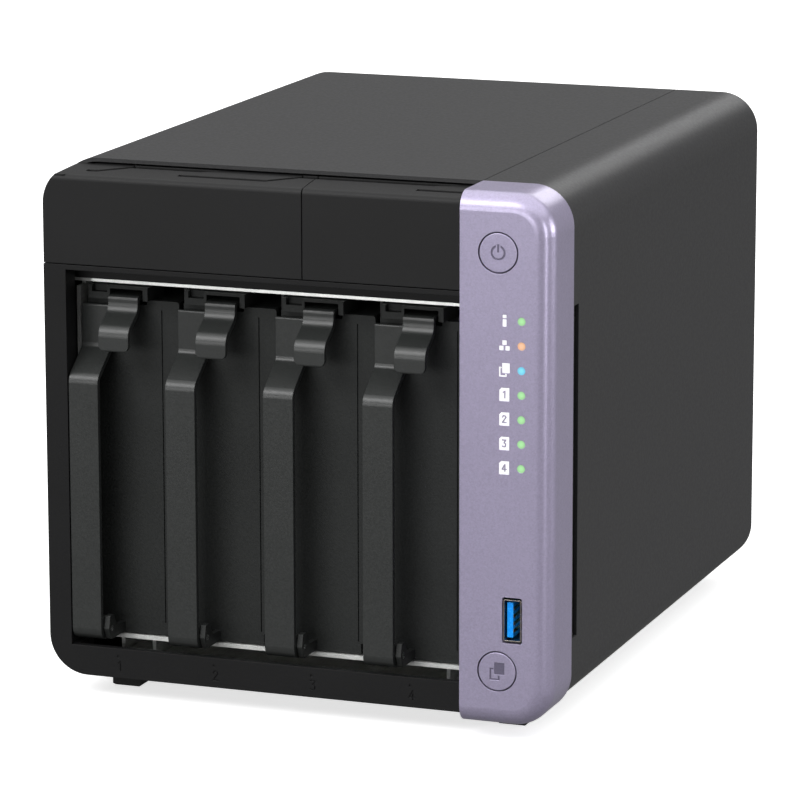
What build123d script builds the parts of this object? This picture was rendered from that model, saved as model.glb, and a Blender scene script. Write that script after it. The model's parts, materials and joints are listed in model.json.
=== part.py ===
from build123d import *
import math
import os

# Desktop network attached storage unit with four drive trays behind an open front.
# Millimetres. X is to the right of a person facing the front, Y runs back, Z is up.
# The origin is under the middle of the unit, on the surface that its feet stand on.

# ---- driving dimensions ----
WIDTH = 170.0
DEPTH = 223.4
BODY_H = 164.3
FOOT_H = 7.0
CORNER_R = 12.7
SHEET_T = 1.2
SEAM_GAP = 0.3

PANEL_PROUD = 7.2      # the control panel stands this far in front of the bezel
FRONT_DEPTH = 14.1     # bezel face back to the metal covers
PANEL_X = 55.75        # left edge of the control panel
PANEL_DROP = 1.2       # the control panel reaches this far below the bezel
PANEL_EDGE_R = 5.6

BAYS = 4
BAY_PITCH = 32.87
BAY_X0 = -77.35        # left limit of the first bay

# ---- places worked out from them ----
FRONT_Y = -DEPTH / 2
REAR_Y = DEPTH / 2
BEZEL_Y = FRONT_Y + PANEL_PROUD
COVER_Y = BEZEL_Y + FRONT_DEPTH
BASE_Z = FOOT_H
TOP_Z = FOOT_H + BODY_H
MID_Z = BASE_Z + BODY_H / 2
HALF_W = WIDTH / 2

# front opening of the bezel
OPEN_X0 = -77.5
SILL_DEPTH = 7.2       # the opening's side wall is this deep, and the opening is wider behind it
OPEN_Z0 = BASE_Z + 9.6
OPEN_Z1 = BASE_Z + 130.8
CAP_Z0 = BASE_Z + 132.7
DECK_Z = BASE_Z + 161.0
DECK_RISE = 1.8        # the caps' top climbs this much towards the cover
CAP_SEAM_X = 1.94
CAP_WALL = 2.0
HOOK_NEAR_Y = 5.6      # places of the caps' guide grooves, back from the bezel's face
HOOK_FAR_Y = 11.4
HOOK_WIDTH = 1.9
HOOK_DEPTH = 1.1

# drive cage: bare steel box whose front edges show round the trays
CAGE_T = 1.3
CAGE_X0 = -80.0
CAGE_X1 = 55.5
CAGE_Z0 = BASE_Z + 9.4
CAGE_Z1 = BASE_Z + 126.1
CAGE_Y0 = COVER_Y - 0.2
BACKPLANE_Y = COVER_Y + 154.3
BOARD_T = 1.6

# drive and tray
DRIVE_X = 26.1
DRIVE_Y = 147.0
DRIVE_Z = 101.6
TRAY_FACE_Y = BEZEL_Y + 14.6
TRAY_FACE_T = 2.4
TRAY_BACK_Y = TRAY_FACE_Y + TRAY_FACE_T
TRAY_Z0 = BASE_Z + 11.2
TRAY_RAIL_T = 3.3
TRAY_TOP_Z = BASE_Z + 119.8
TRAY_U0 = 0.8
TRAY_U1 = 32.1
DRIVE_Y0 = BEZEL_Y + 17.3
DRIVE_Z0 = TRAY_Z0 + TRAY_RAIL_T + 0.1
DRIVE_U0 = 3.3
TOP_RAIL_Z = DRIVE_Z0 + DRIVE_Z + 0.1

# lever, hinged at its rounded foot
LEVER_T = 1.7
LEVER_U0 = 0.2
LEVER_U1 = 10.1
LEVER_FACE_Y = BEZEL_Y + 0.2
LEVER_BACK_Y = BEZEL_Y + 11.2
LEVER_TOP_Z = BASE_Z + 118.2
LEVER_STEP_Z1 = BASE_Z + 104.8
LEVER_STEP_Z0 = BASE_Z + 96.6
HINGE_R = 3.85
HINGE_Y = LEVER_FACE_Y + HINGE_R
HINGE_Z = BASE_Z + 15.2
PIN_R = 1.0
PIN_CLEARANCE = 0.05
LUG_LEFT_U = (0.9, 2.0)
LUG_RIGHT_U = (10.45, 12.2)
BARREL_U0 = 2.4

# latch tab, hinged inside the tray's top housing
LATCH_U0 = 10.45
LATCH_U1 = 20.6
LATCH_T = 1.6
LATCH_PIN_R = 0.9
LATCH_BARREL_R = 1.6
LATCH_Y = BEZEL_Y + 19.6
LATCH_Z = BASE_Z + 121.2
HOUSING_Y0 = BEZEL_Y + 11.2
HOUSING_Y1 = BEZEL_Y + 24.1
HOUSING_U0 = 2.5
HOUSING_U1 = 22.8
HOUSING_Z0 = BASE_Z + 120.0
HOUSING_TOP_Z = BASE_Z + 124.3
POCKET_Z0 = BASE_Z + 118.2
POCKET_Z1 = BASE_Z + 123.5
LATCH_PIN_U = (9.0, 22.6)

# control panel fittings
PANEL_WALL = 2.2
BUTTON_X = 68.0
POWER_Z = BASE_Z + 146.35
COPY_Z = BASE_Z + 16.35
BUTTON_R = 6.05
BUTTON_HOLE_R = 6.4
BUTTON_TRAVEL = 0.8
MARK_DEPTH = 0.15
LIGHT_X = 75.5
LIGHT_TOP_Z = BASE_Z + 125.8
LIGHT_PITCH = 7.56
LIGHT_R = 1.25
LIGHTS = 7
ICON_X = 70.1
ICON_DEPTH = 0.3
USB_X = 72.8
USB_Z = BASE_Z + 32.7
USB_W = 5.7
USB_H = 13.1
FRONT_BOARD_Y = FRONT_Y + 15.3

# rear plate and fan
REAR_PLATE_T = 1.0
REAR_PLATE_Y = REAR_Y - 3.2
REAR_FACE_Y = REAR_PLATE_Y + REAR_PLATE_T
FAN_SIZE = 120.0
FAN_T = 25.0
FAN_X = -11.0
FAN_Z = BASE_Z + 82.0
FAN_BORE_R = 57.5
FAN_HOLE_REACH = FAN_SIZE / 2 - 7.5
HUB_R = 19.0
FAN_BLADES = 7
GUARD_WIRE_R = 0.7
SCREW_INSET = 5.5

# mainboard and the ports along its rear edge, each as (x0, x1, z0, z1)
MAIN_X = 60.0
PORT_X = MAIN_X + BOARD_T
PORT_Y0 = REAR_FACE_Y + 0.3
PORTS = {
    "inlet": (PORT_X, PORT_X + 11, BASE_Z + 18, BASE_Z + 29),
    "usb_lower": (PORT_X + 1, PORT_X + 1 + USB_W, BASE_Z + 36, BASE_Z + 36 + USB_H),
    "usb_upper": (PORT_X + 10, PORT_X + 10 + USB_W, BASE_Z + 36, BASE_Z + 36 + USB_H),
    "network_1": (PORT_X, PORT_X + 13.5, BASE_Z + 56, BASE_Z + 72),
    "network_2": (PORT_X, PORT_X + 13.5, BASE_Z + 76, BASE_Z + 92),
    "fibre": (PORT_X, PORT_X + 10.5, BASE_Z + 98, BASE_Z + 113),
}
RESET_X = PORT_X + 4
RESET_Z = BASE_Z + 122
RESET_GAP = 1.0
CELL_Y = COVER_Y + 40
CELL_Z = BASE_Z + 40
CELL_R = 10.0
LOCK_X = PORT_X + 12
LOCK_Z = BASE_Z + 138

os.makedirs("parts", exist_ok=True)
NODES = {}


# ---- helpers ----
def block(x0, x1, y0, y1, z0, z1):
    """Box between two corners."""
    size = Box(x1 - x0, y1 - y0, z1 - z0)
    return Pos((x0 + x1) / 2, (y0 + y1) / 2, (z0 + z1) / 2) * size


def prism_y(sketch, y0, y1):
    """Extrude a sketch drawn as (x, z) from y0 to y1."""
    return Pos(0, y1, 0) * Rot(90, 0, 0) * extrude(sketch, y1 - y0)


def prism_x(sketch, x0, x1):
    """Extrude a sketch drawn as (y, z) from x0 to x1."""
    plane = Plane(origin=(x0, 0, 0), x_dir=(0, 1, 0), z_dir=(1, 0, 0))
    return extrude(plane * sketch, x1 - x0)


def rod_x(x0, x1, y, z, radius):
    return Pos((x0 + x1) / 2, y, z) * Rot(0, 90, 0) * Cylinder(radius, x1 - x0)


def rod_y(x, y0, y1, z, radius):
    return Pos(x, (y0 + y1) / 2, z) * Rot(90, 0, 0) * Cylinder(radius, y1 - y0)


def outline(points, radii):
    """Closed face through the points, each corner rounded by its radius."""
    return make_face(FilletPolyline(*points, radius=radii, close=True))


def strokes(points, width):
    """Line of constant width with round ends through the points."""
    line = None
    for (x0, z0), (x1, z1) in zip(points, points[1:]):
        turn = math.degrees(math.atan2(z1 - z0, x1 - x0))
        run = SlotCenterToCenter(math.hypot(x1 - x0, z1 - z0), width, turn)
        run = Pos((x0 + x1) / 2, (z0 + z1) / 2) * run
        line = run if line is None else line + run
    return line


def digit(number, height, width):
    """Plain numeral one to four, drawn in a box half as wide as it is high."""
    shapes = {
        1: [(-0.16, 0.3), (0.08, 0.5), (0.08, -0.5)],
        2: [(-0.27, 0.26), (-0.14, 0.47), (0.14, 0.47), (0.27, 0.24), (-0.27, -0.5), (0.29, -0.5)],
        3: [(-0.27, 0.5), (0.25, 0.5), (-0.02, 0.1), (0.24, -0.1), (0.2, -0.4), (0.0, -0.5), (-0.27, -0.4)],
        4: [(0.12, -0.5), (0.12, 0.5), (-0.3, -0.22), (0.32, -0.22)],
    }
    return strokes([(x * height, z * height) for x, z in shapes[number]], width)


def case_section(inset):
    """Rounded section of the metal covers, as (x, z)."""
    section = RectangleRounded(WIDTH - 2 * inset, BODY_H - 2 * inset, CORNER_R - inset)
    return Pos(0, MID_Z) * section


def bay_x(bay, u):
    """X of a place that is u from the left limit of a bay."""
    return BAY_X0 + bay * BAY_PITCH + u


def save(name, shape):
    """Write one node. A list of solids becomes one group."""
    if isinstance(shape, list):
        shape = Compound(children=[solid for item in shape for solid in item.solids()])
    NODES[name] = shape
    export_step(shape, f"parts/{name}.step")


# ---- covers ----
def cover_ring():
    return prism_y(case_section(0) - case_section(SHEET_T), COVER_Y, REAR_Y)


def top_cover():
    """Folded sheet: top, left side and underside."""
    return cover_ring() & block(-HALF_W, PANEL_X - SEAM_GAP / 2, COVER_Y, REAR_Y, BASE_Z, TOP_Z)


def side_cover():
    """Right side with both rounded edges and the air slot behind the control panel."""
    cover = cover_ring() & block(PANEL_X + SEAM_GAP / 2, HALF_W, COVER_Y, REAR_Y, BASE_Z, TOP_Z)
    slot = block(HALF_W - 5, HALF_W + 5, COVER_Y + 0.5, COVER_Y + 4.9, BASE_Z + 22.8, BASE_Z + 127.3)
    return cover - slot


# ---- front bezel and its caps ----
def bezel_outline():
    """Bezel face with rounded left corners, as (x, z)."""
    right = PANEL_X - 0.2
    whole = case_section(0)
    keep = Pos((right - HALF_W) / 2, (BASE_Z + CAP_Z0 - SEAM_GAP) / 2)
    return whole & keep * Rectangle(right + HALF_W, CAP_Z0 - SEAM_GAP - BASE_Z)


def bay_marks():
    """Cutters for the engraved bay numbers and the dot over each."""
    marks = []
    for bay in range(BAYS):
        centre = bay_x(bay, 16.4)
        number = Pos(centre, BASE_Z + 3.9) * digit(bay + 1, 3.0, 0.4)
        marks.append(prism_y(number, BEZEL_Y - 1, BEZEL_Y + 0.3))
        marks.append(rod_y(centre - 0.5, BEZEL_Y - 1, BEZEL_Y + 0.3, BASE_Z + 7.0, 0.45))
    return marks


def front_bezel():
    """Plastic frame round the trays, with a trough in its sill and a flange that carries the caps."""
    back_y = COVER_Y - 0.2
    right = PANEL_X + 5
    frame = prism_y(bezel_outline(), BEZEL_Y, back_y)
    frame -= block(OPEN_X0, right, BEZEL_Y - 1, back_y + 1, OPEN_Z0, OPEN_Z1)
    frame -= block(OPEN_X0 - 4, right, BEZEL_Y + SILL_DEPTH, back_y + 1, OPEN_Z0, OPEN_Z1)
    frame -= block(OPEN_X0 + 1.5, right, BEZEL_Y + 2.5, back_y + 1, BASE_Z + 2.5, OPEN_Z0 + 1)
    frame = frame - bay_marks()
    carrier = block(-HALF_W + 4, PANEL_X - 0.4, back_y - 3, back_y, CAGE_Z1 + 0.3, DECK_Z - 4)
    lip = prism_y(case_section(SHEET_T + 0.2) - case_section(SHEET_T + 1.8), back_y - 1, back_y + 4)
    lip &= block(-HALF_W, PANEL_X - 2, back_y - 1, back_y + 4, BASE_Z, BASE_Z + 120)
    return frame + carrier + lip


def cap_relief(points):
    """Cutter of constant depth under a shape drawn as (x, y) on the caps' sloping top."""
    floor_z = DECK_Z - HOOK_DEPTH
    return Pos(0, 0, floor_z) * extrude(make_face(Polyline(*points, close=True)), 6)


def hook_groove(x_start, x_straight, x_end):
    """Groove that leads a sliding front cover onto its catch."""
    near = BEZEL_Y + HOOK_NEAR_Y
    far = BEZEL_Y + HOOK_FAR_Y
    points = [(x_start, near), (x_straight, near), (x_end, far)]
    points += [(x_end, far + HOOK_WIDTH), (x_straight, near + HOOK_WIDTH), (x_start, near + HOOK_WIDTH)]
    return cap_relief(points)


def hook_pocket(x0, x1, x_wedge):
    """Lower area between two guides, open towards the cover."""
    near = BEZEL_Y + HOOK_FAR_Y
    far = COVER_Y
    return cap_relief([(x0, near), (x1, near), (x_wedge, far), (x0, far)])


def cap_shell(x0, x1):
    """Hollow cap over the bays: front wall, sloping top and a rounded front top edge."""
    y1 = COVER_Y + 3.0
    top_z = DECK_Z + DECK_RISE
    points = [(BEZEL_Y, CAP_Z0), (y1, CAP_Z0), (y1, top_z), (BEZEL_Y + 2, DECK_Z), (BEZEL_Y, DECK_Z)]
    body = prism_x(outline(points, [0, 0, 0, 0, 1.9]), x0, x1)
    hollow = block(x0 - 1, x1 + 1, BEZEL_Y + CAP_WALL, y1 + 1, CAP_Z0 - 1, DECK_Z - CAP_WALL)
    return body - hollow


def left_cap():
    """Left cap, with the case's rounded corner closed by its side wall."""
    x1 = CAP_SEAM_X - 0.15
    depth = FRONT_DEPTH - 0.2
    cap = cap_shell(-HALF_W + 0.1, x1)
    side = prism_y(case_section(0.1) - case_section(CAP_WALL), BEZEL_Y + 0.4, BEZEL_Y + depth)
    side &= block(-HALF_W, -HALF_W + 18, BEZEL_Y, COVER_Y, CAP_Z0, DECK_Z - 0.05)
    outer = prism_y(case_section(0.1), BEZEL_Y - 1, COVER_Y + 4)
    cap = (cap & outer) + side
    cap -= block(-HALF_W - 1, -HALF_W + 12, COVER_Y - 0.2, COVER_Y + 5, CAP_Z0 - 1, TOP_Z)
    cap = cap - hook_groove(-72.5, -68.9, -59.4) - hook_pocket(-59.5, -36.3, -30.2)
    cap = cap - hook_groove(-41.6, -12.2, -3.0)
    return cap - hook_pocket(-3.1, x1 + 1, x1 + 1)


def right_cap():
    """Right cap, which ends at the control panel."""
    x0 = CAP_SEAM_X + 0.15
    cap = cap_shell(x0, PANEL_X - 0.2) - hook_pocket(x0 - 1, 40.6, 48.5)
    return cap - hook_groove(37.0, 57.0, 58.0)


# ---- control panel ----
def panel_section(inset):
    """Control panel outline as (x, z): square on its left, rounded on its right."""
    radius = CORNER_R - inset
    x0 = PANEL_X + inset
    x1 = HALF_W - inset
    z0 = BASE_Z - PANEL_DROP + inset
    z1 = TOP_Z - inset
    points = [(x0, z0), (x1, z0), (x1, z1), (x0, z1)]
    return outline(points, [0, radius, radius, 0])


def control_panel():
    """Hollow fascia with soft front edges and holes for its buttons, lights and port."""
    body = prism_y(panel_section(0), FRONT_Y, COVER_Y)
    front = body.faces().sort_by(Axis.Y)[0]
    left_x = PANEL_X + 0.01
    soft = [edge for edge in front.edges() if edge.center().X > left_x]
    body = fillet(soft, PANEL_EDGE_R)
    cavity = prism_y(panel_section(PANEL_WALL), FRONT_Y + PANEL_WALL, COVER_Y + 1)
    cavity_front = cavity.faces().sort_by(Axis.Y)[0]
    inner_x = left_x + PANEL_WALL
    inner_soft = [edge for edge in cavity_front.edges() if edge.center().X > inner_x]
    cavity = fillet(inner_soft, PANEL_EDGE_R - PANEL_WALL)
    body -= cavity
    back = FRONT_Y + PANEL_WALL + 1
    for z in (POWER_Z, COPY_Z):
        body -= rod_y(BUTTON_X, FRONT_Y - 1, back, z, BUTTON_HOLE_R)
    for index in range(LIGHTS):
        body -= rod_y(LIGHT_X, FRONT_Y - 1, back, light_z(index), LIGHT_R)
    port = RectangleRounded(USB_W + 0.7, USB_H + 1.4, 0.8)
    body -= prism_y(Pos(USB_X, USB_Z) * port, FRONT_Y - 1, back)
    for mark in icon_solids():
        body -= mark
    return body


def light_z(index):
    return LIGHT_TOP_Z - index * LIGHT_PITCH


def ink(sketch, index):
    """Place an icon sketch beside light number index and give it the ink depth."""
    return prism_y(Pos(ICON_X, light_z(index)) * sketch, FRONT_Y, FRONT_Y + ICON_DEPTH)


def two_pages(width, height, shift, line):
    """Solid page in front of an outlined one, shifted along the diagonal."""
    front = Pos(shift, shift * 1.2) * Rectangle(width, height)
    sheet = Rectangle(width, height) - Rectangle(width - 2 * line, height - 2 * line)
    halo = Pos(shift, shift * 1.2) * Rectangle(width + line, height + line)
    return front + (Pos(-shift, -shift * 1.2) * sheet - halo)


def icon_sketches():
    """Printed marks: an i, a small network, two pages, then boxes one to four."""
    info = Pos(0, -0.7) * Rectangle(1.2, 2.2) + Pos(0, 1.3) * Rectangle(1.2, 0.95)
    square = Rectangle(1.35, 1.35)
    network = Pos(0, 0.85) * square + Pos(-0.98, -0.85) * square + Pos(0.98, -0.85) * square
    marks = [info, network, two_pages(2.4, 3.0, 0.5, 0.45)]
    corners = [(-1.6, -2.05), (1.6, -2.05), (1.6, 2.05), (-0.9, 2.05), (-1.6, 1.35)]
    box = make_face(Polyline(*corners, close=True))
    for number in range(1, BAYS + 1):
        marks.append(box - digit(number, 2.1, 0.42))
    return marks


def icon_solids():
    return [ink(sketch, index) for index, sketch in enumerate(icon_sketches())]


def push_button(z):
    """Round button with a flange behind the panel wall and a stem to its switch."""
    wall_back = FRONT_Y + PANEL_WALL
    cap = rod_y(BUTTON_X, FRONT_Y, wall_back + 0.3, z, BUTTON_R)
    rim = cap.faces().sort_by(Axis.Y)[0].edges()
    cap = fillet(rim, 0.3)
    flange = rod_y(BUTTON_X, wall_back + 0.3, wall_back + 1.5, z, BUTTON_HOLE_R + 1.0)
    stem = rod_y(BUTTON_X, wall_back + 1.5, FRONT_BOARD_Y - 3.4, z, 2.2)
    return cap + flange + stem


def power_mark():
    """Sunk power symbol: an open ring and a bar."""
    ring = Circle(2.35) - Circle(1.75) - Pos(0, 2) * Rectangle(1.5, 3)
    bar = Pos(0, 1.35) * Rectangle(0.6, 2.5)
    return prism_y(Pos(BUTTON_X, POWER_Z) * (ring + bar), FRONT_Y - 1, FRONT_Y + MARK_DEPTH)


def copy_mark():
    """Sunk symbol of a page in front of another."""
    pages = Pos(BUTTON_X, COPY_Z) * two_pages(3.2, 3.8, 0.75, 0.5)
    return prism_y(pages, FRONT_Y - 1, FRONT_Y + MARK_DEPTH)


def light_pipe(index):
    return rod_y(LIGHT_X, FRONT_Y, FRONT_BOARD_Y - 1.0, light_z(index), LIGHT_R)


def light_chip(index):
    z = light_z(index)
    half = 0.9
    return block(LIGHT_X - half, LIGHT_X + half, FRONT_BOARD_Y - 0.8, FRONT_BOARD_Y, z - half, z + half)


def tact_switch(z):
    """Small push switch on the board behind a button."""
    body = block(BUTTON_X - 3, BUTTON_X + 3, FRONT_BOARD_Y - 1.6, FRONT_BOARD_Y, z - 3, z + 3)
    return body + rod_y(BUTTON_X, FRONT_BOARD_Y - 2.3, FRONT_BOARD_Y - 1.6, z, 1.7)


def front_board():
    """Board behind the panel, with its lights and the two button switches soldered on."""
    back = FRONT_BOARD_Y + BOARD_T
    board = block(PANEL_X + 4, HALF_W - 4, FRONT_BOARD_Y, back, BASE_Z + 8, TOP_Z - 8)
    for z in (BASE_Z + 55, TOP_Z - 30):
        board -= rod_y(PANEL_X + 7, FRONT_BOARD_Y - 1, back + 1, z, 1.6)
    for index in range(LIGHTS):
        board += light_chip(index)
    return board + tact_switch(POWER_Z) + tact_switch(COPY_Z)


def usb_shell(x, z, y0, y1):
    """Folded metal shell of a port that stands upright, open at y0."""
    outer = Pos(x, z) * RectangleRounded(USB_W, USB_H, 0.5)
    inner = Pos(x, z) * RectangleRounded(USB_W - 0.6, USB_H - 0.6, 0.3)
    return prism_y(outer - inner, y0, y1)


def front_usb_tongue():
    """Blue contact tongue with its rear block."""
    left = USB_X - USB_W / 2 + 0.9
    right = USB_X + USB_W / 2 - 0.4
    back = FRONT_BOARD_Y
    tongue = block(left, left + 1.9, FRONT_Y + 1.3, back, USB_Z - 5.5, USB_Z + 5.5)
    return tongue + block(left - 0.5, right, back - 3, back, USB_Z - 6, USB_Z + 6)


# ---- drive cage ----
def drive_cage():
    """Steel box open at the front and rear, with air slots and a relieved front corner."""
    y1 = BACKPLANE_Y
    roof = CAGE_Z1 - CAGE_T
    cage = block(CAGE_X0, CAGE_X1, CAGE_Y0, y1, CAGE_Z0, CAGE_Z1)
    cage -= block(
        CAGE_X0 + CAGE_T, CAGE_X1 - CAGE_T, CAGE_Y0 - 1, y1 + 1, CAGE_Z0 + CAGE_T, roof
    )
    for index in range(6):
        y = CAGE_Y0 + 22 + index * 22
        for bay in range(BAYS):
            cage -= block(bay_x(bay, 11), bay_x(bay, 22), y, y + 12, roof - 1, CAGE_Z1 + 1)
    cage += block(CAGE_X0 - 1.1, CAGE_X0 + 1, CAGE_Y0, CAGE_Y0 + 8, roof, CAGE_Z1)
    return cage - block(CAGE_X0 - 2, CAGE_X0 + CAGE_T, CAGE_Y0 - 1, CAGE_Y0 + 4, roof - 1.6, roof)


def chassis_base():
    """Base plate inside the underside, with two runners that carry the cage."""
    floor = BASE_Z + SHEET_T
    base = block(-70, 72, COVER_Y + 6, REAR_PLATE_Y, floor, floor + 1.0)
    for x in (-69.0, 42.0):
        runner = block(x, x + 12, COVER_Y + 6, BACKPLANE_Y, floor + 1.0, CAGE_Z0)
        runner -= block(x + 1.2, x + 10.8, COVER_Y + 5, BACKPLANE_Y + 1, floor + 2.2, CAGE_Z0 - 1.2)
        base += runner
    return base


def tray_guides():
    """Plastic ribs between the bays, on the cage's floor and roof."""
    ribs = []
    y0 = CAGE_Y0 + 4
    y1 = BACKPLANE_Y - 4
    for bay in range(1, BAYS):
        x = bay_x(bay, 0)
        ribs.append(block(x - 0.45, x + 0.45, y0, y1, CAGE_Z0 + CAGE_T, CAGE_Z0 + CAGE_T + 6))
        ribs.append(block(x - 0.45, x + 0.45, y0, y1, TRAY_TOP_Z - 5, CAGE_Z1 - CAGE_T))
    return ribs


def backplane():
    """Board across the back of the cage, cut away for air."""
    y1 = BACKPLANE_Y + BOARD_T
    board = block(CAGE_X0, CAGE_X1, BACKPLANE_Y, y1, CAGE_Z0, CAGE_Z1)
    for bay in range(BAYS):
        x0 = bay_x(bay, 6)
        board -= block(x0, x0 + 21, BACKPLANE_Y - 1, y1 + 1, BASE_Z + 62, BASE_Z + 112)
    return board


def drive_socket(bay):
    """Upright connector on the backplane that reaches into the drive's recess."""
    x = bay_x(bay, DRIVE_U0 + 5.5)
    y0 = DRIVE_Y0 + DRIVE_Y - 3.4
    socket = block(x - 3, x + 3, y0, BACKPLANE_Y, BASE_Z + 18, BASE_Z + 56)
    for z0, z1 in ((BASE_Z + 20, BASE_Z + 32), (BASE_Z + 34, BASE_Z + 54)):
        socket -= block(x - 0.9, x + 0.9, y0 - 1, y0 + 3.7, z0, z1)
    return socket


# ---- trays ----
def tray_rail(bay, z0):
    """One of the two long rails that hold the drive's edges, with lightening slots."""
    y0 = TRAY_BACK_Y - 0.1
    y1 = DRIVE_Y0 + DRIVE_Y - 4
    rail = block(bay_x(bay, TRAY_U0 + 0.4), bay_x(bay, TRAY_U1 - 0.4), y0, y1, z0, z0 + TRAY_RAIL_T)
    for index in range(4):
        y = y0 + 26 + index * 32
        slot = Pos(bay_x(bay, 16.4), y) * SlotOverall(22, 9, 90)
        rail -= Pos(0, 0, z0 - 1) * extrude(slot, TRAY_RAIL_T + 2)
    return rail


def left_lug(bay):
    """Slim arm that carries the left end of the lever's pin inside the rounded foot."""
    x0 = bay_x(bay, LUG_LEFT_U[0])
    x1 = bay_x(bay, LUG_LEFT_U[1])
    arm = block(x0, x1, HINGE_Y, TRAY_FACE_Y + 0.2, HINGE_Z - 1, HINGE_Z + 1)
    return arm + rod_x(x0, x1, HINGE_Y, HINGE_Z, PIN_R + 0.8)


def right_lug(bay):
    """Gusseted arm beside the lever's foot that carries the right end of its pin."""
    low = BASE_Z + 11.5
    peak = BASE_Z + 19.3
    root = TRAY_FACE_Y + 0.2
    points = [
        (BEZEL_Y + 3.4, low), (root, low), (root, BASE_Z + 14.7), (BEZEL_Y + 8, BASE_Z + 15),
        (BEZEL_Y + 5.4, peak), (BEZEL_Y + 2.6, peak), (BEZEL_Y + 1.6, HINGE_Z),
    ]
    section = outline(points, [0.8, 0, 0, 0.8, 0.5, 0.5, 0.8])
    return prism_x(section, bay_x(bay, LUG_RIGHT_U[0]), bay_x(bay, LUG_RIGHT_U[1]))


def latch_housing(bay):
    """Box at the top of the tray's face that covers the latch's pivot."""
    x0 = bay_x(bay, HOUSING_U0)
    x1 = bay_x(bay, HOUSING_U1)
    hood = block(x0, x1, HOUSING_Y0, TRAY_FACE_Y + 0.1, HOUSING_Z0, HOUSING_TOP_Z)
    box = block(x0, x1, TRAY_FACE_Y, HOUSING_Y1, TOP_RAIL_Z, HOUSING_TOP_Z)
    window = block(x0 + 1.3, bay_x(bay, 9.0), HOUSING_Y0 - 1, HOUSING_Y0 + 2.5, HOUSING_Z0 + 2.2, TOP_Z)
    return hood + box - window


def latch_pocket(bay):
    """Space in the tray for the latch's neck and barrel."""
    x0 = bay_x(bay, LATCH_U0 - 0.5)
    x1 = bay_x(bay, LATCH_U1 + 0.5)
    return block(x0, x1, HOUSING_Y0 - 1, HOUSING_Y1 - 1.6, POCKET_Z0, POCKET_Z1)


def tray_face(bay):
    """Front plate with its rounded corner, fine groove and foot notch."""
    x0 = bay_x(bay, TRAY_U0)
    x1 = bay_x(bay, TRAY_U1)
    plate = block(x0, x1, TRAY_FACE_Y, TRAY_BACK_Y, TRAY_Z0, TRAY_TOP_Z)
    top_corner = plate.edges().filter_by(Axis.Y).sort_by(Axis.Z)[-2:].sort_by(Axis.X)[-1]
    plate = fillet(top_corner, 1.0)
    groove_x = bay_x(bay, 26.0)
    notch_x = bay_x(bay, 27.0)
    front = TRAY_FACE_Y - 1
    plate -= block(groove_x, groove_x + 0.35, front, TRAY_FACE_Y + 0.5, TRAY_Z0 + 4, TRAY_TOP_Z - 3)
    return plate - block(notch_x, notch_x + 1.6, front, TRAY_BACK_Y + 1, TRAY_Z0 - 1, TRAY_Z0 + 3.4)


def tray(bay):
    """Tray frame: face plate, two rails, hinge lugs and latch housing."""
    shape = tray_face(bay) + tray_rail(bay, TRAY_Z0) + tray_rail(bay, TOP_RAIL_Z)
    shape = shape + left_lug(bay) + right_lug(bay) + latch_housing(bay)
    shape -= latch_pocket(bay)
    for pin in tray_pins(bay):
        shape -= pin
    return shape


def lever_strap(x0, x1, foot_z):
    """Bent strap of the lever from its set-back top down to foot_z."""
    face = LEVER_FACE_Y
    back = LEVER_BACK_Y
    slope = math.atan2(back - face, LEVER_STEP_Z1 - LEVER_STEP_Z0)
    shift = LEVER_T * math.tan(slope / 2)
    points = [
        (back, LEVER_TOP_Z), (back, LEVER_STEP_Z1), (face, LEVER_STEP_Z0), (face, foot_z),
        (face + LEVER_T, foot_z), (face + LEVER_T, LEVER_STEP_Z0 - shift),
        (back + LEVER_T, LEVER_STEP_Z1 - shift), (back + LEVER_T, LEVER_TOP_Z),
    ]
    return prism_x(outline(points, [0.6, 2.0, 4.0, 0, 0, 2.4, 3.6, 0.6]), x0, x1)


def lever(bay):
    """Tray lever: strap, rolled foot and hinge barrel."""
    x0 = bay_x(bay, LEVER_U0)
    x1 = bay_x(bay, LEVER_U1)
    barrel_x0 = bay_x(bay, BARREL_U0)
    strap = lever_strap(x0, x1, HINGE_Z)
    barrel = rod_x(barrel_x0, x1, HINGE_Y, HINGE_Z, HINGE_R)
    roll = rod_x(x0, barrel_x0, HINGE_Y, HINGE_Z, HINGE_R)
    roll -= rod_x(x0 - 1, barrel_x0 + 1, HINGE_Y, HINGE_Z, HINGE_R - LEVER_T)
    roll &= block(x0, barrel_x0, HINGE_Y - 10, HINGE_Y, HINGE_Z - 10, HINGE_Z)
    shape = strap + barrel + roll
    return shape - rod_x(x0 - 1, x1 + 1, HINGE_Y, HINGE_Z, PIN_R + PIN_CLEARANCE)


def latch_profile():
    """Outer points of the wavy tab as (y, z), from its pivot neck to its lower end."""
    top = LATCH_Z + LATCH_T / 2
    y = BEZEL_Y
    front = [
        (LATCH_Y, top), (y + 8.5, top), (y + 8.5, BASE_Z + 117.4),
        (y + 0.5, BASE_Z + 112.4), (y + 0.5, BASE_Z + 105.4),
    ]
    t = LATCH_T
    back = [
        (y + 0.5 + t, BASE_Z + 105.4), (y + 0.5 + t, BASE_Z + 111.5),
        (y + 8.5 + t, BASE_Z + 116.5), (y + 8.5 + t, top - t), (LATCH_Y, top - t),
    ]
    radii = [0, 1.4, 4.2, 4.6, 0.6, 0.6, 3.0, 5.8, 0.4, 0]
    return outline(front + back, radii)


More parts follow.
